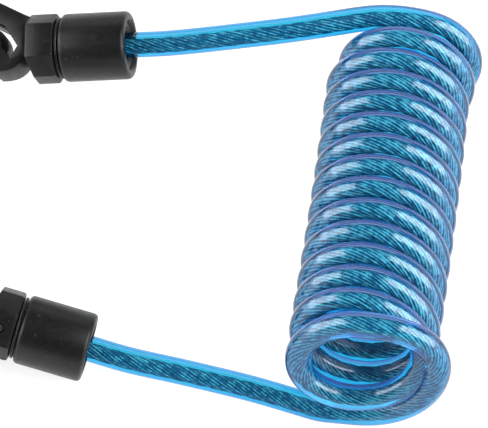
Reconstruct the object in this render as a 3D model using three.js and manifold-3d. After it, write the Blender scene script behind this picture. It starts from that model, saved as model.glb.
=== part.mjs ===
// A coiled steel cable with a swivelling snap hook at each end.
// Millimetres, +Z up. The coil and both fittings lie on the table, which is the plane Z = 0.

import * as THREE from 'three';
import { mergeVertices } from 'three/addons/utils/BufferGeometryUtils.js';
import Module from 'manifold-3d';

const wasm = await Module();
wasm.setup();

// ---- Driving dimensions ------------------------------------------------------------------

const GAP = 0.3; // play between pieces that touch

// Cable
const COIL_SIDE_RADIUS = 3.1; // corner radius of the coil's six-sided section, cable 6 mm
const LEAD_SIDE_RADIUS = 3.08; // corner radius of the leads' ten-sided section
const COIL_SIDES = 6;
const LEAD_SIDES = 10;
const LEAD_STEPS = 14;
const TURNS = 14.5;
const STEPS_PER_TURN = 24;
const PITCH = 6.21; // along the coil's centreline, turns all but touching
const COIL_RADIUS = 13.76; // to the cable's centreline
const STRAIGHT_END = 6; // straight run at each end of the coil
const LEAD_STRAIGHT = 1.5; // and at the lead's end that meets it
const TABLE_PLAY = 0.02; // between the coil's lowest corner and the table

// The coil's centreline in plan: x = COIL_X + LEAN * s + BEND * s * s, from its near end
const COIL_X = 93.09;
const COIL_Y = -61.17;
const LEAN = 0.158;
const BEND = -0.0003;
const FORESHORTEN = 0.985; // advance in Y for each millimetre along the centreline
const NEAR_LIFT = 7.13; // the coil's near end stands on the lead, its far end on the table
const NEAR_TILT = 14.2; // degrees that the turns lean back
const FAR_TILT = 5.1;
const TUCK = 7.6; // the first turn starts on the table, under the second,
const NEAR_GROW = 5.5; // winds in from a wider sweep
const NEAR_ROLL = 0.21; // and has its right side higher
const FAR_SHIFT = 3.5; // the last turns drift outwards to the upper lead,
const FAR_BACK = 1.55; // leave a little clear of the others
const FAR_SHRINK = 1.2; // and draw in, so that the lead leaves lower

// Fittings: mouth centre, direction out of the mouth, and where the hook's spine points
const UPPER = {
  mouth: [42.25, 28.84, 19.88],
  axis: [0.983, -0.0735, 0.196],
  spine: [0, 0.97, 0.25],
};
const LOWER = {
  mouth: [33.65, -44.56, 7.69],
  axis: [0.958, -0.248, -0.135],
  spine: [0, -0.777, -0.63],
};

// Sleeve, along the fitting's axis from the mouth at 0 back to the hook
const SLEEVE_RADIUS = 7.9;
const SLEEVE_LENGTH = 15.8;
const SLEEVE_RIM = 1.0;
const CAVITY_RADIUS = 5.6;
const REAR_WALL = 2.5;
const SWIVEL_BORE = 2.8;

const BUSH_RECESS = 0.9;
const BUSH_LENGTH = 2.4;
const BUSH_BORE = 4.0;

const FERRULE_RADIUS = 4.6;
const FERRULE_LENGTH = 7.0;

const PIN_RADIUS = SWIVEL_BORE - GAP;
const PIN_HEAD_RADIUS = 4.5;
const PIN_HEAD = 1.6;
const PIN_DEPTH = 5.0; // into the collar
const CROSS_PIN_RADIUS = 0.9;

const GROOVE = 1.1; // between sleeve and collar
const WASHER_RADIUS = 7.1;
const COLLAR_LENGTH = 6.8;

// Hook, in u away from the collar and v towards the spine
const HOOK_THICKNESS = 8;
const HOOK_BEVEL = 0.6;
const GATE_WIDTH = 7.2;
const PIVOT_U = 9.9;
const PIVOT_V = 0.2;
const BARREL_RADIUS = 4.9;
const BARREL_WIDTH = 4.4;
const CHEEK_RADIUS = 3.6;
const GATE_PIN_RADIUS = 1.05;

// Gate spring
const SPRING_WIRE = 0.35;
const SPRING_RADIUS = 2.45;
const SPRING_PITCH = 1.14;
const SPRING_CURLS = 2;
const SPRING_SIDES = 5;
const SPRING_STEPS = 8;
const POCKET_RADIUS = 3.45;
const POCKET_FLOOR = -1.5;

// ---- Materials ---------------------------------------------------------------------------

const blackPlastic = () =>
  new THREE.MeshStandardMaterial({ color: 0x2a2a2c, roughness: 0.45, metalness: 0 });
const greyPlastic = () =>
  new THREE.MeshStandardMaterial({ color: 0x4a4a4c, roughness: 0.4, metalness: 0 });
const steel = () =>
  new THREE.MeshStandardMaterial({ color: 0xa9adb2, roughness: 0.3, metalness: 1 });
const blueJacket = () =>
  new THREE.MeshStandardMaterial({ color: 0x2f8fd0, roughness: 0.2, metalness: 0 });

// ---- Solids ------------------------------------------------------------------------------

function toSolid(geometry) {
  const bare = geometry.clone();
  bare.deleteAttribute('normal');
  bare.deleteAttribute('uv');
  const merged = mergeVertices(bare, 1e-4);
  const mesh = new wasm.Mesh({
    numProp: 3,
    vertProperties: new Float32Array(merged.attributes.position.array),
    triVerts: new Uint32Array(merged.index.array),
  });
  return new wasm.Manifold(mesh);
}

function toGeometry(solid) {
  const mesh = solid.getMesh();
  const geometry = new THREE.BufferGeometry();
  const position = new THREE.BufferAttribute(new Float32Array(mesh.vertProperties), 3);
  geometry.setAttribute('position', position);
  geometry.setIndex(new THREE.BufferAttribute(new Uint32Array(mesh.triVerts), 1));
  geometry.computeVertexNormals();
  return geometry;
}

const join = (...geometries) => geometries.map(toSolid).reduce((a, b) => a.add(b));

function cut(solid, ...geometries) {
  return geometries.reduce((rest, geometry) => rest.subtract(toSolid(geometry)), solid);
}

// A body of revolution about X. The outline is a closed list of [x, radius].
function revolve(outline, segments) {
  const profile = outline.map(([x, radius]) => new THREE.Vector2(radius, x)).reverse();
  profile.push(profile[0].clone());
  return new THREE.LatheGeometry(profile, segments).rotateZ(-Math.PI / 2);
}

// A plain rod about X from x0 to x1
function rod(x0, x1, radius, segments) {
  const geometry = new THREE.CylinderGeometry(radius, radius, x1 - x0, segments);
  return geometry.rotateZ(-Math.PI / 2).translate((x0 + x1) / 2, 0, 0);
}

// A plain rod along Z through a point of the hook
function upright(u, v, z0, z1, radius, segments) {
  const geometry = new THREE.CylinderGeometry(radius, radius, z1 - z0, segments);
  return geometry.rotateX(Math.PI / 2).translate(hookX(u), v, (z0 + z1) / 2);
}

// A plate between z0 and z1, with its edges eased by the bevel
function plate(shape, z0, z1, bevel, curveSegments) {
  const geometry = new THREE.ExtrudeGeometry(shape, {
    depth: z1 - z0 - 2 * bevel,
    bevelEnabled: bevel > 0,
    bevelThickness: bevel,
    bevelSize: bevel,
    bevelOffset: -bevel,
    bevelSegments: 2,
    curveSegments,
  });
  return geometry.translate(0, 0, z0 + bevel);
}

// A rounded corner between two edges of a profile, as points on an arc about a centre
function arc(centreX, centreRadius, radius, from, to, steps) {
  const points = [];
  for (let i = 0; i <= steps; i += 1) {
    const angle = THREE.MathUtils.degToRad(from + ((to - from) * i) / steps);
    points.push([centreX + radius * Math.cos(angle), centreRadius + radius * Math.sin(angle)]);
  }
  return points;
}

// One unbroken tube along a list of points. Each ring has a corner towards its "across" vector.
function sweep(points, across, sides, radius) {
  const position = [];
  const index = [];
  const count = points.length;
  points.forEach((point, i) => {
    const before = points[Math.max(i - 1, 0)];
    const after = points[Math.min(i + 1, count - 1)];
    const tangent = after.clone().sub(before).normalize();
    const first = across[i].clone();
    first.addScaledVector(tangent, -first.dot(tangent)).normalize();
    const second = tangent.clone().cross(first);
    for (let k = 0; k < sides; k += 1) {
      const angle = (2 * Math.PI * k) / sides;
      const corner = point.clone();
      corner.addScaledVector(first, radius * Math.cos(angle));
      corner.addScaledVector(second, radius * Math.sin(angle));
      position.push(corner.x, corner.y, corner.z);
    }
  });
  for (let i = 0; i < count - 1; i += 1) {
    for (let k = 0; k < sides; k += 1) {
      const a = i * sides + k;
      const b = i * sides + ((k + 1) % sides);
      index.push(a, b, b + sides, a, b + sides, a + sides);
    }
  }
  const last = (count - 1) * sides;
  for (let k = 1; k < sides - 1; k += 1) {
    index.push(0, k + 1, k, last, last + k, last + k + 1);
  }
  const geometry = new THREE.BufferGeometry();
  geometry.setAttribute('position', new THREE.Float32BufferAttribute(position, 3));
  geometry.setIndex(index);
  geometry.computeVertexNormals();
  return geometry;
}

function named(name, geometry, material) {
  const mesh = new THREE.Mesh(geometry, material);
  mesh.name = name;
  return mesh;
}

// ---- Cable -------------------------------------------------------------------------------

const smooth = (from, to, value) => THREE.MathUtils.smoothstep(value, from, to);

// The coil's centreline: how far along its axis a turn is, the axis there and the radius
function coilFrame(turn) {
  const s = PITCH * turn;
  const onTable = 1 - smooth(0, 0.5, turn);
  const tilt = THREE.MathUtils.degToRad(THREE.MathUtils.lerp(NEAR_TILT, FAR_TILT, turn / TURNS));
  const angle = 2 * Math.PI * turn - Math.PI / 2;
  const grow = NEAR_GROW * (1 - smooth(0.1, 0.5, turn)) - FAR_SHRINK * smooth(13.5, 14.5, turn);
  const radius = COIL_RADIUS + grow;
  const side = new THREE.Vector3(1, -(LEAN + 2 * BEND * s), 0).normalize();
  side.z = NEAR_ROLL * smooth(0, 0.3, turn) * (1 - smooth(0.6, 1.6, turn));
  const up = new THREE.Vector3(0, Math.sin(tilt), Math.cos(tilt));
  const centre = new THREE.Vector3(
    COIL_X + LEAN * s + BEND * s * s + FAR_SHIFT * smooth(12.6, 14.6, turn),
    COIL_Y + FORESHORTEN * s + TUCK * onTable + FAR_BACK * smooth(13.3, 14.5, turn),
    radius * up.z + COIL_SIDE_RADIUS + TABLE_PLAY + NEAR_LIFT * (1 - turn / TURNS - onTable),
  );
  const outward = side.multiplyScalar(Math.cos(angle)).addScaledVector(up, Math.sin(angle));
  return { centre, outward, radius };
}

function coilPoint(turn) {
  const { centre, outward, radius } = coilFrame(turn);
  return centre.addScaledVector(outward, radius);
}

function coilEnd(turn, inward) {
  const point = coilPoint(turn);
  const direction = point.clone().sub(coilPoint(turn + inward)).normalize();
  return { point, direction, tip: point.clone().addScaledVector(direction, STRAIGHT_END) };
}

const nearEnd = coilEnd(0, 0.001);
const farEnd = coilEnd(TURNS, -0.001);

function cableCoil() {
  const count = Math.round(TURNS * STEPS_PER_TURN);
  const points = [nearEnd.tip];
  const across = [coilFrame(0).outward];
  for (let i = 0; i <= count; i += 1) {
    const turn = (TURNS * i) / count;
    points.push(coilPoint(turn));
    across.push(coilFrame(turn).outward);
  }
  points.push(farEnd.tip);
  across.push(coilFrame(TURNS).outward);
  const geometry = sweep(points, across, COIL_SIDES, COIL_SIDE_RADIUS);
  console.log(`coil's least gap to itself: ${leastGap(geometry).toFixed(2)} mm`);
  return geometry;
}

// The least distance between points of the tube that are more than half a turn apart
function leastGap(geometry) {
  const position = geometry.attributes.position;
  const apart = (STEPS_PER_TURN / 2) * COIL_SIDES;
  const a = new THREE.Vector3();
  const b = new THREE.Vector3();
  let least = Infinity;
  for (let i = 0; i < position.count; i += 1) {
    a.fromBufferAttribute(position, i);
    for (let j = i + apart; j < position.count; j += 1) {
      least = Math.min(least, a.distanceToSquared(b.fromBufferAttribute(position, j)));
    }
  }
  return Math.sqrt(least);
}

// A point on a fitting's axis, x millimetres in front of its mouth
function onAxis(fitting, x) {
  const direction = new THREE.Vector3(...fitting.axis).normalize();
  return new THREE.Vector3(...fitting.mouth).addScaledVector(direction, x);
}

// The face of the ferrule that a lead meets
const FERRULE_FACE = -(BUSH_RECESS + BUSH_LENGTH + GAP);

// A lead from the ferrule's face, by hand-chosen points, to an end of the coil
function lead(fitting, between, end) {
  const start = onAxis(fitting, FERRULE_FACE + GAP);
  const meeting = end.tip.clone().addScaledVector(end.direction, GAP);
  const route = new THREE.CatmullRomCurve3(
    [
      start,
      onAxis(fitting, 0),
      onAxis(fitting, 9),
      ...between.map((point) => new THREE.Vector3(...point)),
      meeting.clone().addScaledVector(end.direction, LEAD_STRAIGHT),
    ],
    false,
    'centripetal',
  );
  const points = [...route.getSpacedPoints(LEAD_STEPS), meeting];
  const across = points.map(() => new THREE.Vector3(0, 0, 1));
  return sweep(points, across, LEAD_SIDES, LEAD_SIDE_RADIUS);
}

const UPPER_ROUTE = [
  [67.45, 27.34, 26.0],
  [80.35, 28.1, 27.7],
];
const LOWER_ROUTE = [
  [54.35, -48.9, 4.7],
  [70.35, -52.6, 3.4],
];

// ---- Fitting: sleeve and swivel ----------------------------------------------------------

const SLEEVE_BACK = -SLEEVE_LENGTH;
const COLLAR_FRONT = SLEEVE_BACK - GROOVE;
const COLLAR_BACK = COLLAR_FRONT - COLLAR_LENGTH;
const hookX = (u) => COLLAR_BACK - u;

function sleeve() {
  const front = arc(-SLEEVE_RIM, SLEEVE_RADIUS - SLEEVE_RIM, SLEEVE_RIM, 0, 90, 3);
  const back = arc(SLEEVE_BACK + SLEEVE_RIM, SLEEVE_RADIUS - SLEEVE_RIM, SLEEVE_RIM, 90, 180, 3);
  const outline = [
    [SLEEVE_BACK, SWIVEL_BORE],
    [SLEEVE_BACK + REAR_WALL, SWIVEL_BORE],
    [SLEEVE_BACK + REAR_WALL, CAVITY_RADIUS],
    [-0.6, CAVITY_RADIUS],
    [0, CAVITY_RADIUS + 0.6],
    ...front,
    ...back,
  ];
  return revolve(outline, 40);
}

function mouthBush() {
  const front = -BUSH_RECESS;
  const back = front - BUSH_LENGTH;
  const outer = CAVITY_RADIUS - GAP;
  return revolve(
    [
      [back, BUSH_BORE],
      [front - 0.7, BUSH_BORE],
      [front, BUSH_BORE + 0.5],
      [front, outer],
      [back, outer],
    ],
    32,
  );
}

// The crimped ferrule: two waists where the jaws have closed on it
function ferrule() {
  const front = FERRULE_FACE;
  const back = front - FERRULE_LENGTH;
  const waist = FERRULE_RADIUS - 0.6;
  const step = FERRULE_LENGTH / 7;
  return revolve(
    [
      [back, 0],
      [front, 0],
      [front, FERRULE_RADIUS - 0.4],
      [front - 0.4, FERRULE_RADIUS],
      [front - step, FERRULE_RADIUS],
      [front - 1.4 * step, waist],
      [front - 2.6 * step, waist],
      [front - 3 * step, FERRULE_RADIUS],
      [front - 4 * step, FERRULE_RADIUS],
      [front - 4.4 * step, waist],
      [front - 5.6 * step, waist],
      [front - 6 * step, FERRULE_RADIUS],
      [back + 0.4, FERRULE_RADIUS],
      [back, FERRULE_RADIUS - 0.4],
    ],
    24,
  );
}

function swivelPin() {
  const under = SLEEVE_BACK + REAR_WALL + GAP;
  const tip = COLLAR_FRONT - PIN_DEPTH;
  const body = revolve(
    [
      [tip, 0],
      [under + PIN_HEAD, 0],
      [under + PIN_HEAD, PIN_HEAD_RADIUS - 0.4],
      [under + PIN_HEAD - 0.4, PIN_HEAD_RADIUS],
      [under, PIN_HEAD_RADIUS],
      [under, PIN_RADIUS],
      [tip + 0.5, PIN_RADIUS],
      [tip, PIN_RADIUS - 0.5],
    ],
    24,
  );
  const hole = new THREE.CylinderGeometry(
    CROSS_PIN_RADIUS + GAP,
    CROSS_PIN_RADIUS + GAP,
    4 * PIN_RADIUS,
    12,
  );
  hole.rotateX(Math.PI / 2).translate(COLLAR_FRONT - COLLAR_LENGTH / 2, 0, 0);
  return toGeometry(cut(toSolid(body), hole));
}

// A washer with a shallow groove round its rim, in the space between sleeve and collar
function thrustWasher() {
  const front = SLEEVE_BACK - GAP;
  const back = COLLAR_FRONT + GAP;
  const middle = (front + back) / 2;
  return revolve(
    [
      [back, SWIVEL_BORE],
      [front, SWIVEL_BORE],
      [front, WASHER_RADIUS],
      [front - 0.2, WASHER_RADIUS],
      [middle, WASHER_RADIUS - 0.35],
      [back + 0.2, WASHER_RADIUS],
      [back, WASHER_RADIUS],
    ],
    40,
  );
}

const CROSS_PIN_TOP = 4.2;
const CROSS_PIN_FOOT = -6.6;

// The pin that holds the swivel pin in the collar, driven in from below
function crossPin() {
  const length = CROSS_PIN_TOP - CROSS_PIN_FOOT;
  const geometry = new THREE.CylinderGeometry(CROSS_PIN_RADIUS, CROSS_PIN_RADIUS, length, 12);
  geometry.rotateX(Math.PI / 2);
  return geometry.translate(
    COLLAR_FRONT - COLLAR_LENGTH / 2,
    0,
    (CROSS_PIN_TOP + CROSS_PIN_FOOT) / 2,
  );
}

// ---- Fitting: hook -----------------------------------------------------------------------

// Corners of an outline given as [u, v], with curves as [[u, v], [u, v], [u, v]]
function hookShape(start, ...moves) {
  const shape = new THREE.Shape();
  shape.moveTo(hookX(start[0]), start[1]);
  moves.forEach((move) => {
    if (Array.isArray(move[0])) {
      const [a, b, c] = move;
      shape.bezierCurveTo(hookX(a[0]), a[1], hookX(b[0]), b[1], hookX(c[0]), c[1]);
    } else {
      shape.lineTo(hookX(move[0]), move[1]);
    }
  });
  return shape;
}

// The hook seen flat: spine, round bow and nose, with a V-shaped seat for the gate's barrel
function hookOutline() {
  return hookShape(
    [-3, -2.8],
    [-3, 6],
    [-1, 6.6],
    [1.2, 7.6],
    [17, 15.9],
    [[21, 18], [26, 19], [31, 18.9]],
    [[44, 18.7], [55.6, 12], [55.6, 2.2]],
    [[55.6, -4], [52, -7.6], [46.5, -7.6]],
    [44.3, -7.6],
    [44.3, -4.4],
    [46.95, -4.4],
    [[49.2, -3.4], [50.4, -1.4], [50.4, 1.2]],
    [50.4, 5.6],
    [[50.4, 10.8], [41, 13.9], [31, 13.9]],
    [[26, 13.9], [22, 13.1], [18, 11.2]],
    [6.6, 5.2],
    [5.6, 4.7],
    [2.6, 0],
    [4.3, -2.9],
    [6.6, -4.9],
    [7.6, -6.3],
    [[4.6, -6.5], [1.9, -5.9], [0.5, -2.8]],
  );
}

// One side of the fork that carries the gate's pin
function cheekOutline() {
  const shape = new THREE.Shape();
  shape.absarc(hookX(PIVOT_U), PIVOT_V, CHEEK_RADIUS, Math.PI * 0.95, Math.PI * 1.95, true);
  shape.lineTo(hookX(4.4), -2.4);
  shape.lineTo(hookX(3.6), -5.0);
  shape.lineTo(hookX(7.5), -5.9);
  shape.lineTo(hookX(11.2), -4.6);
  return shape;
}

// The squarish collar: flats above and below, narrow flats at the sides, eased corners
function collarGeometry() {
  const half = new THREE.Shape();
  const corners = [
    [4, 7],
    [7.6, 2.7],
    [7.6, -2.7],
    [4, -7],
    [-4, -7],
    [-7.6, -2.7],
    [-7.6, 2.7],
    [-4, 7],
  ];
  corners.forEach(([y, z], i) => (i === 0 ? half.moveTo(y, z) : half.lineTo(y, z)));
  const block = new THREE.ExtrudeGeometry(half, {
    depth: COLLAR_LENGTH - 1.2,
    bevelEnabled: true,
    bevelThickness: 0.6,
    bevelSize: 0.6,
    bevelOffset: -0.6,
    bevelSegments: 2,
  });
  block.rotateY(Math.PI / 2).rotateX(Math.PI / 2);
  return block.translate(COLLAR_BACK + 0.6, 0, 0);
}

// The wedge that slants the collar's back corner on the gate's side
function collarSlant() {
  const wedge = hookShape([1, -3], [-0.1, -3.6], [-1.9, -9], [1, -9]);
  return plate(wedge, -9, 9, 0, 1);
}

function hookBody() {
  const half = HOOK_THICKNESS / 2;
  const slot = BARREL_WIDTH / 2 + GAP;
  let solid = toSolid(collarGeometry());
  solid = cut(solid, collarSlant());
  const flat = plate(hookOutline(), -half, half, HOOK_BEVEL, 8);
  const upperCheek = plate(cheekOutline(), slot - 0.2, half, 0, 10);
  const lowerCheek = plate(cheekOutline(), -half, -slot + 0.2, 0, 10);
  solid = solid.add(join(flat, upperCheek, lowerCheek));
  const pinHole = GATE_PIN_RADIUS + GAP;
  solid = cut(
    solid,
    upright(PIVOT_U, PIVOT_V, -slot, slot, BARREL_RADIUS + 0.4, 32),
    upright(PIVOT_U, PIVOT_V, -6, 6, pinHole, 16),
    rod(COLLAR_FRONT - PIN_DEPTH - GAP, COLLAR_FRONT + 1, PIN_RADIUS + GAP, 24),
  );
  const crossHole = new THREE.CylinderGeometry(
    CROSS_PIN_RADIUS + GAP,
    CROSS_PIN_RADIUS + GAP,
    CROSS_PIN_TOP + GAP + 9,
    12,
  );
  crossHole.rotateX(Math.PI / 2);
  crossHole.translate(COLLAR_FRONT - COLLAR_LENGTH / 2, 0, (CROSS_PIN_TOP + GAP - 9) / 2);
  return toGeometry(cut(solid, crossHole));
}

// The gate: a barrel on the pin, an arm to the nose and a tongue that stops behind it
function gate() {
  const half = GATE_WIDTH / 2;
  const arm = hookShape(
    [13.4, -6.3],
    [43.5, -6.3],
    [43.5, -4.1],
    [46.3, -4.1],
    [46.3, -2.9],
    [42, -2.3],
    [[34, -2.5], [22, -2.9], [13.4, -2.8]],
  );
  const link = hookShape([9.4, -2], [8.4, -4.4], [8.6, -6.1], [14.6, -6.1], [14.6, -3], [13, -2]);
  const inner = BARREL_WIDTH / 2;
  const solid = join(
    plate(arm, -half, half, 0.5, 6),
    plate(link, -inner, inner, 0, 1),
    upright(PIVOT_U, PIVOT_V, -inner, inner, BARREL_RADIUS, 32),
  );
  const shaped = cut(
    solid,
    upright(PIVOT_U, PIVOT_V, -6, 6, GATE_PIN_RADIUS + GAP, 16),
    upright(PIVOT_U, PIVOT_V, POCKET_FLOOR, 6, POCKET_RADIUS, 24),
  );
  return toGeometry(shaped);
}

function gatePin() {
  const reach = HOOK_THICKNESS / 2 - 0.2;
  return upright(PIVOT_U, PIVOT_V, -reach, reach, GATE_PIN_RADIUS, 16);
}

// The torsion spring in the barrel's pocket, round the pin, with a straight leg at each end
function gateSpring() {
  const floor = POCKET_FLOOR + GAP + SPRING_WIRE;
  const points = [];
  const across = [];
  const count = SPRING_CURLS * SPRING_STEPS;
  for (let i = 0; i <= count; i += 1) {
    const turn = i / SPRING_STEPS;
    const angle = 2 * Math.PI * turn;
    const outward = new THREE.Vector3(Math.cos(angle), Math.sin(angle), 0);
    const point = new THREE.Vector3(hookX(PIVOT_U), PIVOT_V, floor + SPRING_PITCH * turn);
    points.push(point.addScaledVector(outward, SPRING_RADIUS));
    across.push(outward);
  }
  const leg = 1.1;
  points.unshift(points[0].clone().add(new THREE.Vector3(0, -leg, 0)));
  across.unshift(across[0]);
  points.push(points[count + 1].clone().add(new THREE.Vector3(0, leg, 0)));
  across.push(across[count + 1]);
  return sweep(points, across, SPRING_SIDES, SPRING_WIRE);
}

// ---- Assembly ----------------------------------------------------------------------------

function fitting(name, place) {
  const group = new THREE.Group();
  group.add(
    named(`${name}_sleeve`, sleeve(), blackPlastic()),
    named(`${name}_mouth_bush`, mouthBush(), blackPlastic()),
    named(`${name}_ferrule`, ferrule(), steel()),
    named(`${name}_swivel_pin`, swivelPin(), steel()),
    named(`${name}_thrust_washer`, thrustWasher(), greyPlastic()),
    named(`${name}_cross_pin`, crossPin(), steel()),
    named(`${name}_hook_body`, hookBody(), blackPlastic()),
    named(`${name}_gate`, gate(), blackPlastic()),
    named(`${name}_gate_pin`, gatePin(), steel()),
    named(`${name}_gate_spring`, gateSpring(), steel()),
  );
  const x = new THREE.Vector3(...place.axis).normalize();
  const z = x.clone().cross(new THREE.Vector3(...place.spine)).normalize();
  const y = z.clone().cross(x);
  group.quaternion.setFromRotationMatrix(new THREE.Matrix4().makeBasis(x, y, z));
  group.position.set(...place.mouth);
  return group;
}

const lock = new THREE.Group();
lock.add(
  fitting('upper', UPPER),
  fitting('lower', LOWER),
  named('cable_coil', cableCoil(), blueJacket()),
  named('cable_upper_lead', lead(UPPER, UPPER_ROUTE, farEnd), blueJacket()),
  named('cable_lower_lead', lead(LOWER, LOWER_ROUTE, nearEnd), blueJacket()),
);

export default lock;
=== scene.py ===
"""A coiled cable in a clear blue jacket, with a swivelling snap hook at each end.

It lies on a white table. Lengths in the cable's part are millimetres, and elsewhere metres.
"""

import math

import bmesh
import bpy
import numpy as np
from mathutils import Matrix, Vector


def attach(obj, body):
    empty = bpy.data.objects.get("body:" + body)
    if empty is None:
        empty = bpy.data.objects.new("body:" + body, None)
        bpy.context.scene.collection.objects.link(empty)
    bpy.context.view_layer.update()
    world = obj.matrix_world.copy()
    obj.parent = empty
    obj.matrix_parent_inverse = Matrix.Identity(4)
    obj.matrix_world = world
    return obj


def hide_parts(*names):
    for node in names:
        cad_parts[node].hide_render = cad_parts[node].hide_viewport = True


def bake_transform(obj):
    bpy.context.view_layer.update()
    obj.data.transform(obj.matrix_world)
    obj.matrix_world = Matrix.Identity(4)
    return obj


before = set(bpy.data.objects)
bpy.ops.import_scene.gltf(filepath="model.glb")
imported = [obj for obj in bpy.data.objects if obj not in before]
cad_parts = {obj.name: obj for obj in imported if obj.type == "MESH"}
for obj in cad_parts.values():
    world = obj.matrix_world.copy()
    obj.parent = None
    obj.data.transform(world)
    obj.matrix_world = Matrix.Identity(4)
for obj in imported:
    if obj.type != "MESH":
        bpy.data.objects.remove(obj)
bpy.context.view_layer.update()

MM = 0.001

# ---- Camera ------------------------------------------------------------------------------

TARGET = Vector((0.06835, -0.00476, 0.0))
ELEVATION = math.radians(59)
DISTANCE = 0.95
PIXELS_PER_MM = 4.33
PICTURE_WIDTH = 488
SENSOR_WIDTH = 36.0

camera_data = bpy.data.cameras.new("camera")
camera_data.sensor_fit = "HORIZONTAL"
camera_data.sensor_width = SENSOR_WIDTH
camera_data.lens = PIXELS_PER_MM * DISTANCE / MM * SENSOR_WIDTH / PICTURE_WIDTH
camera_data.clip_start = 0.01
camera_data.clip_end = 50
camera = bpy.data.objects.new("camera", camera_data)
bpy.context.collection.objects.link(camera)
back = Vector((0, -math.cos(ELEVATION), math.sin(ELEVATION)))
camera.location = TARGET + back * DISTANCE
camera.rotation_euler = back.to_track_quat("Z", "Y").to_euler()
bpy.context.scene.camera = camera

# ---- The cable's route, in millimetres ------------------------------------------------------

CABLE_RADIUS = 2.97
COIL_SIDE_RADIUS = 3.1
COIL_RADIUS = 13.76
TURNS = 14.5
PITCH = 6.21
TABLE_PLAY = 0.02
# Where the coil starts, and how its axis runs sideways and back from there.
COIL_X = 93.09
COIL_Y = -61.17
LEAN = 0.158
BEND = -0.0003
FORESHORTEN = 0.985
# How far each turn leans back, in degrees, and how high the near end stands on the lower lead.
NEAR_TILT = 14.2
FAR_TILT = 5.1
NEAR_LIFT = 7.13
# The first half turn starts on the table, further back, wider and rolled over.
TUCK = 7.6
NEAR_GROW = 5.5
NEAR_ROLL = 0.21
# The last turn moves to the right and back, and narrows.
FAR_SHIFT = 3.5
FAR_BACK = 1.55
FAR_SHRINK = 1.2
# Straight ends of the coil and the leads, and the gap between two nodes of the cable.
STRAIGHT_END = 6
LEAD_STRAIGHT = 1.5
GAP = 0.3
# Along a fitting's axis from its mouth: the ferrule's face, and where the lead may start to bend.
FERRULE_FACE = -3.6
BEND_START = 9
# How finely the route is worked out, and the distance between the drawn rings.
POINTS_PER_TURN = 180
POINTS_PER_SPAN = 24
RING_STEP = 0.9
# The drawn line is eased a little everywhere, and most where the upper lead meets the coil.
EASE_PASSES = 50
EASE_EVERYWHERE = 0.06
EASE_REACH = 9
# Half the length over which the looks change between the leads and the coil.
WOUND_BLEND = 6

UPPER = {
    "name": "upper",
    "end": "coil_end",
    "mouth": (42.25, 28.84, 19.88),
    "axis": (0.983, -0.0735, 0.196),
}
LOWER = {
    "name": "lower",
    "end": "lower_end",
    "mouth": (33.65, -44.56, 7.69),
    "axis": (0.958, -0.248, -0.135),
}
UPPER_ROUTE = [(67.45, 27.34, 26.0), (80.35, 28.1, 27.7)]
LOWER_ROUTE = [(54.35, -48.9, 4.7), (70.35, -52.6, 3.4)]


def smooth(low, high, value):
    """An S-shaped rise from 0 at low to 1 at high."""
    t = np.clip((value - low) / (high - low), 0, 1)
    return t * t * (3 - 2 * t)


def coil_point(turn):
    """A point of the coil's centreline, by turns from the near end. It lies on tilted circles."""
    s = PITCH * turn
    on_table = 1 - smooth(0, 0.5, turn)
    tilt = math.radians(NEAR_TILT + (FAR_TILT - NEAR_TILT) * turn / TURNS)
    angle = 2 * math.pi * turn - math.pi / 2
    grow = NEAR_GROW * (1 - smooth(0.1, 0.5, turn)) - FAR_SHRINK * smooth(13.5, 14.5, turn)
    radius = COIL_RADIUS + grow
    slope = LEAN + 2 * BEND * s
    side = np.array((1, -slope, 0)) / math.hypot(1, slope)
    side[2] = NEAR_ROLL * smooth(0, 0.3, turn) * (1 - smooth(0.6, 1.6, turn))
    up = np.array((0, math.sin(tilt), math.cos(tilt)))
    lift = NEAR_LIFT * (1 - turn / TURNS - on_table)
    centre = np.array(
        (
            COIL_X + LEAN * s + BEND * s * s + FAR_SHIFT * smooth(12.6, 14.6, turn),
            COIL_Y + FORESHORTEN * s + TUCK * on_table + FAR_BACK * smooth(13.3, 14.5, turn),
            radius * up[2] + COIL_SIDE_RADIUS + TABLE_PLAY + lift,
        )
    )
    return centre + radius * (side * math.cos(angle) + up * math.sin(angle))


def coil_end(turn, inward):
    """The direction of a straight end, and its tip. inward is a small step into the coil."""
    point = coil_point(turn)
    direction = point - coil_point(turn + inward)
    direction /= np.linalg.norm(direction)
    return direction, point + STRAIGHT_END * direction


def on_axis(fitting, x):
    axis = np.array(fitting["axis"], float)
    return np.array(fitting["mouth"], float) + x * axis / np.linalg.norm(axis)


def catmull_rom(points, per_span):
    """A centripetal Catmull-Rom curve through the points."""
    p = [2 * points[0] - points[1], *points, 2 * points[-1] - points[-2]]
    out = []
    for i in range(1, len(p) - 2):
        a, b, c, d = p[i - 1 : i + 3]
        t0, t1, t2 = (math.sqrt(np.linalg.norm(v)) for v in (b - a, c - b, d - c))
        m1 = ((b - a) / t0 - (c - a) / (t0 + t1) + (c - b) / t1) * t1
        m2 = ((c - b) / t1 - (d - b) / (t1 + t2) + (d - c) / t2) * t1
        for k in range(per_span):
            t = k / per_span
            out.append(
                b
                + m1 * t
                + (-3 * b + 3 * c - 2 * m1 - m2) * t**2
                + (2 * b - 2 * c + m1 + m2) * t**3
            )
    out.append(points[-1])
    return out


def lead_points(fitting, between, end):
    """A lead's centreline, from its ferrule out of the mouth and through the points between."""
    direction, tip = end
    meeting = tip + GAP * direction
    points = [on_axis(fitting, x) for x in (FERRULE_FACE + GAP, 0, BEND_START)]
    points += [np.array(p, float) for p in between]
    points.append(meeting + LEAD_STRAIGHT * direction)
    return catmull_rom(points, POINTS_PER_SPAN)


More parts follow.
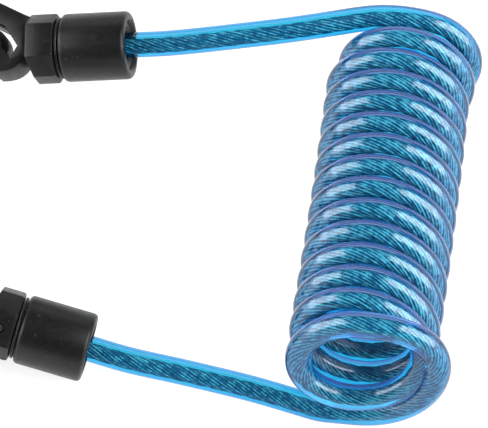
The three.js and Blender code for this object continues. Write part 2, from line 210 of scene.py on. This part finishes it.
def resample(points, values, step):
    """Even steps along a polyline, with a value carried along it."""
    points = np.array(points)
    along = np.concatenate([[0], np.cumsum(np.linalg.norm(np.diff(points, axis=0), axis=1))])
    even = np.linspace(0, along[-1], int(round(along[-1] / step)) + 1)
    spread = np.stack([np.interp(even, along, points[:, k]) for k in range(3)], 1)
    return spread, np.interp(even, along, values), even


far_end = coil_end(TURNS, -0.001)
near_end = coil_end(0, 0.001)
upper_lead = lead_points(UPPER, UPPER_ROUTE, far_end)
lower_lead = lead_points(LOWER, LOWER_ROUTE, near_end)[::-1]
turns = np.linspace(TURNS, 0, int(TURNS * POINTS_PER_TURN) + 1)
route = upper_lead + [coil_point(t) for t in turns] + lower_lead
# Each point's share of the stretch is 0 in the upper lead and rises to 1 through the coil.
share = np.concatenate([np.zeros(len(upper_lead)), 1 - turns / TURNS, np.ones(len(lower_lead))])
cable_line, cable_share, cable_along = resample(route, share, RING_STEP)

from_joint = cable_along - (cable_along[cable_share > 0][0] - STRAIGHT_END)
ease = np.exp(-((from_joint / EASE_REACH) ** 2))
ease = (EASE_EVERYWHERE + (1 - EASE_EVERYWHERE) * ease)[1:-1, None]
for _ in range(EASE_PASSES):
    cable_line[1:-1] += ease * ((cable_line[2:] + cable_line[:-2]) / 4 - cable_line[1:-1] / 2)

# 1 in the coil and 0 in the leads.
coil_along = cable_along[(cable_share > 0) & (cable_share < 1)]
cable_wound = smooth(-WOUND_BLEND, WOUND_BLEND, cable_along - coil_along[0])
cable_wound = cable_wound * smooth(-WOUND_BLEND, WOUND_BLEND, coil_along[-1] - cable_along)


def directions_to_axis():
    """From each ring to the coil's axis, shrinking to nothing at the first turn and the leads."""
    turn = TURNS * (1 - cable_share)
    half = POINTS_PER_TURN // 2
    points = np.array([coil_point(t) for t in turns])
    middles = (points[:-half] + points[half:]) / 2
    middle_turns = turns[half // 2 : half // 2 - half]
    order = np.interp(turn, middle_turns[::-1], np.arange(len(middles))[::-1])
    inwards = middles[order.round().astype(int)] - cable_line
    inwards /= np.linalg.norm(inwards, axis=1, keepdims=True)
    return inwards * (cable_wound * smooth(0.7, 1.5, turn))[:, None]


# These directions give the mask for the shade painted on the rope within the coil.
inwards = directions_to_axis()


# ---- Mesh helpers ------------------------------------------------------------------------


def new_object(name, mesh):
    thing = bpy.data.objects.new(name, mesh)
    bpy.context.collection.objects.link(thing)
    return thing


def transported_frames(line):
    """Two unit normals at each point, which turn as little as they can along the line."""
    tangents = np.gradient(line, axis=0)
    tangents /= np.linalg.norm(tangents, axis=1, keepdims=True)
    first = np.cross(tangents[0], (0, 0, 1.0))
    first /= np.linalg.norm(first)
    normals = [first]
    for i in range(len(line) - 1):
        step = line[i + 1] - line[i]
        reach = step @ step
        n = normals[-1] - (2 / reach) * (step @ normals[-1]) * step
        t = tangents[i] - (2 / reach) * (step @ tangents[i]) * step
        turn = tangents[i + 1] - t
        size = turn @ turn
        normals.append(n - (2 / size) * (turn @ n) * turn if size > 1e-12 else n)
    normals = np.array(normals)
    return normals, np.cross(tangents, normals)


def tube(name, line, rings, sides, profile, twist):
    """A closed tube. profile(angle) is its radius, and twist(i) turns ring i.

    rings holds the line's normals. The UV map counts rings along the line and goes from 0 to 1
    round it.
    """
    normals, across = rings
    angles = np.linspace(0, 2 * math.pi, sides, endpoint=False)
    radius = profile(angles)
    vertices = []
    for i, point in enumerate(line):
        a = angles + twist(i)
        vertices.append(
            point
            + (radius * np.cos(a))[:, None] * normals[i]
            + (radius * np.sin(a))[:, None] * across[i]
        )
    count = len(line)
    faces = []
    for i in range(count - 1):
        for k in range(sides):
            a, b = i * sides + k, i * sides + (k + 1) % sides
            faces.append((a, b, b + sides, a + sides))
    faces.append(tuple(range(sides))[::-1])
    faces.append(tuple((count - 1) * sides + k for k in range(sides)))
    mesh = bpy.data.meshes.new(name)
    mesh.from_pydata((np.concatenate(vertices) * MM).tolist(), [], faces)
    mesh.polygons.foreach_set("use_smooth", [True] * len(faces))
    ring = np.repeat(np.arange(count - 1), sides)[:, None] + np.array((0, 0, 1, 1))
    side = np.tile(np.arange(sides), count - 1)[:, None] + np.array((0, 1, 1, 0))
    uv = np.zeros((len(mesh.loops), 2))
    uv[: ring.size] = np.stack([ring.ravel(), side.ravel() / sides], 1)
    mesh.uv_layers.new(name="along_and_round").data.foreach_set("uv", uv.ravel())
    return new_object(name, mesh)


def along_the_cable(piece, sides, rings):
    """The piece's place is baked into its mesh, and it gets two attributes along the cable.

    Its attribute "wound" is 1 in the coil and 0 in the leads, and a second attribute is 1 where
    it faces the coil's axis, beyond the first turn: a mask for shade painted on the rope within
    the coil.
    """
    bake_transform(piece)
    wound = piece.data.attributes.new("wound", "FLOAT", "POINT")
    wound.data.foreach_set("value", np.repeat(cable_wound[rings], sides).astype(np.float32))
    places = np.empty(len(piece.data.vertices) * 3)
    piece.data.vertices.foreach_get("co", places)
    outwards = places.reshape(-1, sides, 3) / MM - cable_line[rings][:, None]
    outwards /= np.linalg.norm(outwards, axis=2, keepdims=True)
    # How much each point faces the coil's axis: the mask for the shade painted on the rope within
    # the coil.
    facing = (outwards * inwards[rings][:, None]).sum(2).clip(0, 1)
    painted_shade_inside = piece.data.attributes.new("painted_shade_inside", "FLOAT", "POINT")
    painted_shade_inside.data.foreach_set("value", facing.ravel().astype(np.float32))


# ---- Materials ---------------------------------------------------------------------------


def mapped(tree, value, low, high, start=0.0, stop=1.0):
    """low where the value is at start, high where it is at stop, and even between them."""
    node = tree.nodes.new("ShaderNodeMapRange")
    tree.links.new(value, node.inputs["Value"])
    ends = {"From Min": start, "From Max": stop, "To Min": low, "To Max": high}
    for name, end in ends.items():
        if isinstance(end, bpy.types.NodeSocket):
            tree.links.new(end, node.inputs[name])
        else:
            node.inputs[name].default_value = end
    return node.outputs["Result"]


class Nodes:
    """A short way to build a material's nodes round its Principled shader."""

    def __init__(self, name):
        self.material = bpy.data.materials.new(name)
        self.material.use_nodes = True
        self.tree = self.material.node_tree
        self.shader = self.tree.nodes["Principled BSDF"]

    def set(self, **values):
        for name, value in values.items():
            self.shader.inputs[name.replace("_", " ")].default_value = value

    def add(self, kind, inputs=None, **settings):
        node = self.tree.nodes.new(kind)
        for key, value in settings.items():
            setattr(node, key, value)
        for key, value in (inputs or {}).items():
            if isinstance(value, bpy.types.NodeSocket):
                self.tree.links.new(value, node.inputs[key])
            else:
                node.inputs[key].default_value = value
        return node

    def link(self, output, name):
        self.tree.links.new(output, self.shader.inputs[name])

    def ramp(self, fac, *stops):
        node = self.add("ShaderNodeValToRGB", {"Fac": fac})
        elements = node.color_ramp.elements
        while len(elements) < len(stops):
            elements.new(0.5)
        for element, (position, colour) in zip(elements, stops):
            element.position = position
            element.color = (*colour, 1)
        return node.outputs["Color"]

    def levels(self, fac, *stops):
        """A ramp of greys, by position and level."""
        return self.ramp(fac, *((position, (level,) * 3) for position, level in stops))

    def mix(self, factor, first, second, blend_type="MIX"):
        """The first colour is an output, and the second a plain value."""
        inputs = {0: factor, 6: first, 7: (*second, 1)}
        return self.add(
            "ShaderNodeMix", inputs, data_type="RGBA", blend_type=blend_type
        ).outputs[2]

    def coordinates(self):
        return self.add("ShaderNodeTexCoord").outputs["Object"]

    def math(self, operation, *values):
        return self.add("ShaderNodeMath", dict(enumerate(values)), operation=operation).outputs[0]

    def attribute(self, name):
        return self.add("ShaderNodeAttribute", attribute_name=name).outputs["Fac"]

    def noise(self, scale, detail=4, roughness=0.5):
        return self.add(
            "ShaderNodeTexNoise",
            {
                "Vector": self.coordinates(),
                "Scale": scale,
                "Detail": detail,
                "Roughness": roughness,
            },
        ).outputs["Fac"]

    def bump(self, height, strength, distance):
        node = self.add(
            "ShaderNodeBump", {"Height": height, "Strength": strength, "Distance": distance}
        )
        self.link(node.outputs["Normal"], "Normal")


def times(colour, factor):
    return tuple(c * factor for c in colour)


def black_plastic(name, base, roughness, grain=1.0):
    """Dark moulded plastic, with fine grain, uneven gloss and a few light specks of dust."""
    m = Nodes(name)
    mottled = m.ramp(m.noise(260, 5, 0.6), (0.35, times(base, 0.82)), (0.68, times(base, 1.25)))
    speck = m.levels(m.noise(1300, 1), (0.7, 0), (0.78, 1))
    m.link(m.mix(speck, mottled, times(base, 6)), "Base Color")
    shine = mapped(m.tree, m.noise(900, 3), roughness - 0.05, roughness + 0.07, 0.3, 0.7)
    m.link(shine, "Roughness")
    m.bump(m.noise(4200, 2, 0.6), 0.35 * grain, 0.00006)
    m.set(Specular_IOR_Level=0.42)
    return m.material


def steel(name, base, roughness):
    m = Nodes(name)
    m.link(m.ramp(m.noise(700, 4, 0.6), (0.3, times(base, 0.8)), (0.7, base)), "Base Color")
    m.set(Metallic=1.0, Roughness=roughness)
    m.bump(m.noise(3000, 2), 0.2, 0.00004)
    return m.material


# The jacket's colour, from where it is seen straight on to its rims, and the painted sheen on the
# coil's far flanks.
JACKET_BLUES = (0.17, (0.045, 0.56, 0.82)), (0.27, (0.008, 0.34, 0.75)), (0.8, (0.02, 0.24, 0.66))
PAINTED_SHEEN_BLUE = (0.15, 0.2, 0.58)
SPECULAR_BLUE = (0.3, 0.6, 1, 1)

# The rope's dark gaps and its wires' flanks, which are painted shade, their bright crests in the
# steel's own colour, and the painted shade within the coil.
ROPE_SHADES = (0.42, (0.01, 0.1, 0.19)), (0.67, (0.04, 0.18, 0.27)), (0.95, (0.52, 0.6, 0.63))
INSIDE_PAINTED_SHADE = (0.07, 0.14, 0.26)
WIRES_ROUND = 12
WIRES_PER_RING = 0.24


def blue_jacket():
    """Clear blue plastic. It is deeper in colour where the line of sight misses the rope.

    Along the coil's far flanks, at grazing, a violet haze is painted in: a painted sheen. The
    glossy coat thins out towards the rims and on the faces that look down to the front.
    """
    m = Nodes("clear_blue_jacket")
    facing = m.add("ShaderNodeLayerWeight", {"Blend": 0.5}).outputs["Facing"]
    place = m.math("ADD", facing, m.math("MULTIPLY", m.noise(160, 3), 0.06))
    normal = m.add("ShaderNodeNewGeometry").outputs["Normal"]
    towards_back = m.add("ShaderNodeSeparateXYZ", {"Vector": normal}).outputs["Y"]
    wound = m.attribute("wound")

    # Painted sheen: a violet haze on grazing faces that look to the back, in the coil only, with
    # less transmission there.
    flank = m.levels(towards_back, (0.0, 0), (0.4, 1))
    painted_sheen = m.math("MULTIPLY", m.levels(place, (0.22, 0), (0.36, 1)), flank)
    painted_sheen = m.math("MULTIPLY", painted_sheen, wound)
    m.link(m.mix(painted_sheen, m.ramp(place, *JACKET_BLUES), PAINTED_SHEEN_BLUE), "Base Color")
    m.link(m.math("MULTIPLY_ADD", painted_sheen, -0.35, 1.0), "Transmission Weight")
    m.set(Roughness=0.06, IOR=1.48, Specular_IOR_Level=0.5, Specular_Tint=SPECULAR_BLUE)

    front = m.math("MULTIPLY_ADD", towards_back, 0.5, 0.5)
    front = m.levels(front, (0.07, 0), (0.19, 1))
    front = m.math("MAXIMUM", front, m.math("MULTIPLY", wound, 0.5))
    rims = m.levels(facing, (0.32, 1), (0.55, 0.08))
    m.link(m.math("MULTIPLY", rims, front), "Coat Weight")
    m.set(Coat_Roughness=0.18, Coat_IOR=1.75)
    m.bump(m.noise(700, 2), 0.1, 0.00012)
    return m.material


def rope_steel():
    """Bright wires with dark gaps, where the gaps and the wires' flanks are painted shade. They
    cross each strand more steeply than it runs.
    """
    m = Nodes("stranded_rope")
    uv = m.add("ShaderNodeUVMap", uv_map="along_and_round").outputs["UV"]
    parts = m.add("ShaderNodeSeparateXYZ", {"Vector": uv}).outputs
    along = m.math("MULTIPLY", parts["X"], -WIRES_PER_RING)
    wave = m.math("PINGPONG", m.math("MULTIPLY_ADD", parts["Y"], 2 * WIRES_ROUND, along), 1.0)
    uneven = m.math("MULTIPLY_ADD", m.noise(750, 2, 0.7), 2.4, -1.2)
    # Painted light: the rope is drawn lighter in the coil than in the leads.
    wound = m.math("MULTIPLY", m.attribute("wound"), 0.2)
    height = m.math("ADD", m.math("ADD", wave, uneven), wound)
    lit = m.ramp(height, *ROPE_SHADES)
    # Painted shade: the rope is darkened towards the coil's axis, where the upper turns would
    # shade it.
    m.link(m.mix(m.attribute("painted_shade_inside"), lit, INSIDE_PAINTED_SHADE, "MULTIPLY"), "Base Color")
    m.set(Metallic=0.2, Roughness=0.36, Specular_IOR_Level=0.6)
    m.bump(wave, 0.8, 0.0002)
    return m.material


BLACK = black_plastic("black_plastic", (0.0085, 0.0085, 0.0093), 0.38)
HOOK_BLACK = black_plastic("hook_plastic", (0.0095, 0.0093, 0.01), 0.4, 0.7)
GREY = black_plastic("washer_plastic", (0.03, 0.03, 0.032), 0.38, 0.7)
STEEL = steel("pin_steel", (0.5, 0.51, 0.53), 0.3)
FERRULE = steel("ferrule_steel", (0.34, 0.35, 0.37), 0.38)
JACKET = blue_jacket()
ROPE = rope_steel()

# ---- Cable -------------------------------------------------------------------------------

JACKET_SIDES = 28
ROPE_SIDES = 72
ROPE_RADIUS = 1.24
STRANDS = 6
LAY_LENGTH = 26.0
ROPE_SAG = 0.3

rings = transported_frames(cable_line)
jacket = tube(
    "cable_jacket",
    cable_line,
    rings,
    JACKET_SIDES,
    lambda a: np.full_like(a, CABLE_RADIUS),
    lambda i: 0.0,
)
jacket.data.materials.append(JACKET)
jacket.visible_shadow = False
along_the_cable(jacket, JACKET_SIDES, slice(None))
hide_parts("cable_coil", "cable_upper_lead", "cable_lower_lead")


def rope_profile(angle):
    """The outline of the six strands, with a valley between each two."""
    return ROPE_RADIUS * (0.8 + 0.2 * np.abs(np.sin(STRANDS * angle / 2)) ** 0.7)


# The rope lies a little to the front in the leads.
sag = np.outer(1 - cable_wound, (0, ROPE_SAG, 0))
rope = tube(
    "cable_rope",
    (cable_line - sag)[1:-1],
    tuple(part[1:-1] for part in rings),
    ROPE_SIDES,
    rope_profile,
    lambda i: 2 * math.pi * cable_along[i + 1] / LAY_LENGTH,
)
rope.data.materials.append(ROPE)
along_the_cable(rope, ROPE_SIDES, slice(1, -1))

# ---- Fittings ----------------------------------------------------------------------------


MERGE_DISTANCE = 2e-6
FLAT_ANGLE = 1


def finish_of(node, material, body, angle=35, bevel=0.0):
    """A finely shaded copy of a node that stands for it.

    Edges sharper than the angle, in degrees, stay hard, or are bevelled by some millimetres.
    """
    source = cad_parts[node]
    mesh = source.data.copy()
    mesh.materials.clear()
    bm = bmesh.new()
    bm.from_mesh(mesh)
    bmesh.ops.remove_doubles(bm, verts=bm.verts, dist=MERGE_DISTANCE)
    bmesh.ops.dissolve_limit(
        bm, angle_limit=math.radians(FLAT_ANGLE), verts=bm.verts, edges=bm.edges
    )
    if bevel:
        sharp = [
            e
            for e in bm.edges
            if len(e.link_faces) == 2 and e.calc_face_angle(0) > math.radians(angle)
        ]
        bmesh.ops.bevel(
            bm,
            geom=sharp,
            offset=bevel * MM,
            segments=2,
            profile=0.6,
            affect="EDGES",
            clamp_overlap=True,
        )
    bmesh.ops.recalc_face_normals(bm, faces=bm.faces)
    bm.to_mesh(mesh)
    bm.free()
    mesh.materials.append(material)
    mesh.polygons.foreach_set("use_smooth", [True] * len(mesh.polygons))
    mesh.set_sharp_from_angle(angle=math.radians(angle))
    piece = new_object(f"{node}_finish", mesh)
    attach(piece, body)
    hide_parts(node)


for fitting in (UPPER, LOWER):
    name, end = fitting["name"], fitting["end"]
    hook, gate = f"{name}_hook", f"{name}_gate_body"
    finish_of(f"{name}_sleeve", BLACK, end)
    finish_of(f"{name}_mouth_bush", BLACK, end)
    finish_of(f"{name}_ferrule", FERRULE, end)
    finish_of(f"{name}_thrust_washer", GREY, end)
    finish_of(f"{name}_hook_body", HOOK_BLACK, hook, 32, 0.3)
    finish_of(f"{name}_swivel_pin", STEEL, hook)
    finish_of(f"{name}_cross_pin", STEEL, hook)
    finish_of(f"{name}_gate_pin", STEEL, hook)
    finish_of(f"{name}_gate_spring", STEEL, hook, 60)
    finish_of(f"{name}_gate", HOOK_BLACK, gate)

# ---- Stage -------------------------------------------------------------------------------


def highest(tree, outputs):
    """The greatest of some of a tree's light path outputs."""
    path = tree.nodes.new("ShaderNodeLightPath")
    total = path.outputs[outputs[0]]
    for name in outputs[1:]:
        most = tree.nodes.new("ShaderNodeMath")
        most.operation = "MAXIMUM"
        tree.links.new(total, most.inputs[0])
        tree.links.new(path.outputs[name], most.inputs[1])
        total = most.outputs[0]
    return total


# The world's strength: for diffuse rays, and for glossy rays that go up. Other rays see white.
AMBIENT = 0.18
CEILING = 0.04
# The heights, as parts of a ray's length, between which the mirrored world darkens.
HORIZON = 0.06
OVERHEAD = 0.28
# The paper's own light near the part, and how far away from its middle it becomes full.
PAPER_GLOW = 0.8
GLOW_RISES = 0.3, 1.0

world = bpy.data.worlds.new("studio")
bpy.context.scene.world = world
world.use_nodes = True
sky = world.node_tree
backdrop = sky.nodes["Background"]
backdrop.inputs["Color"].default_value = (1, 1, 1, 1)
place = sky.nodes.new("ShaderNodeTexCoord")
height = sky.nodes.new("ShaderNodeSeparateXYZ")
sky.links.new(place.outputs["Generated"], height.inputs[0])
mirrored = mapped(sky, height.outputs["Z"], 1.0, CEILING, HORIZON, OVERHEAD)
unseen = mapped(sky, highest(sky, ["Is Glossy Ray"]), AMBIENT, mirrored)
strength = mapped(sky, highest(sky, ["Is Camera Ray", "Is Transmission Ray"]), unseen, 1.0)
sky.links.new(strength, backdrop.inputs["Strength"])

bm = bmesh.new()
bmesh.ops.create_grid(bm, x_segments=1, y_segments=1, size=3)
floor_mesh = bpy.data.meshes.new("floor")
bm.to_mesh(floor_mesh)
bm.free()
floor = new_object("floor", floor_mesh)
floor.location = (0.05, 0, 0)
paper = Nodes("white_paper")
paper.set(Base_Color=(0.45, 0.45, 0.45, 1), Roughness=0.9, Specular_IOR_Level=0.1)
paper.set(Emission_Color=(1, 1, 1, 1))
seen = highest(paper.tree, ["Is Camera Ray", "Is Glossy Ray", "Is Transmission Ray"])
from_middle = paper.add("ShaderNodeVectorMath", {0: paper.coordinates()}, operation="LENGTH")
glow = mapped(paper.tree, from_middle.outputs["Value"], PAPER_GLOW, 1.0, *GLOW_RISES)
paper.link(mapped(paper.tree, seen, 0.0, glow), "Emission Strength")
floor_mesh.materials.append(paper.material)


def direction(azimuth, elevation):
    a, e = math.radians(azimuth), math.radians(elevation)
    return Vector((math.cos(a) * math.cos(e), math.sin(a) * math.cos(e), math.sin(e)))


def softbox(name, towards, distance, size, power):
    """A rectangular lamp that faces the coil from a direction."""
    data = bpy.data.lights.new(name, "AREA")
    data.shape = "RECTANGLE"
    data.size, data.size_y = size
    data.energy = power
    lamp = bpy.data.objects.new(name, data)
    bpy.context.collection.objects.link(lamp)
    lamp.location = LIT_POINT + towards * distance
    lamp.rotation_euler = towards.to_track_quat("Z", "Y").to_euler()


LIT_POINT = Vector((0.09, -0.01, 0.02))
softbox("right_softbox", direction(-14, 36), 0.9, (0.8, 1.1), 11.5)
softbox("left_softbox", direction(177, 25), 0.9, (0.8, 0.75), 6.3)
softbox("back_softbox", direction(90, 32), 1.1, (1.4, 0.4), 2)

bpy.context.scene.view_settings.view_transform = "Standard"
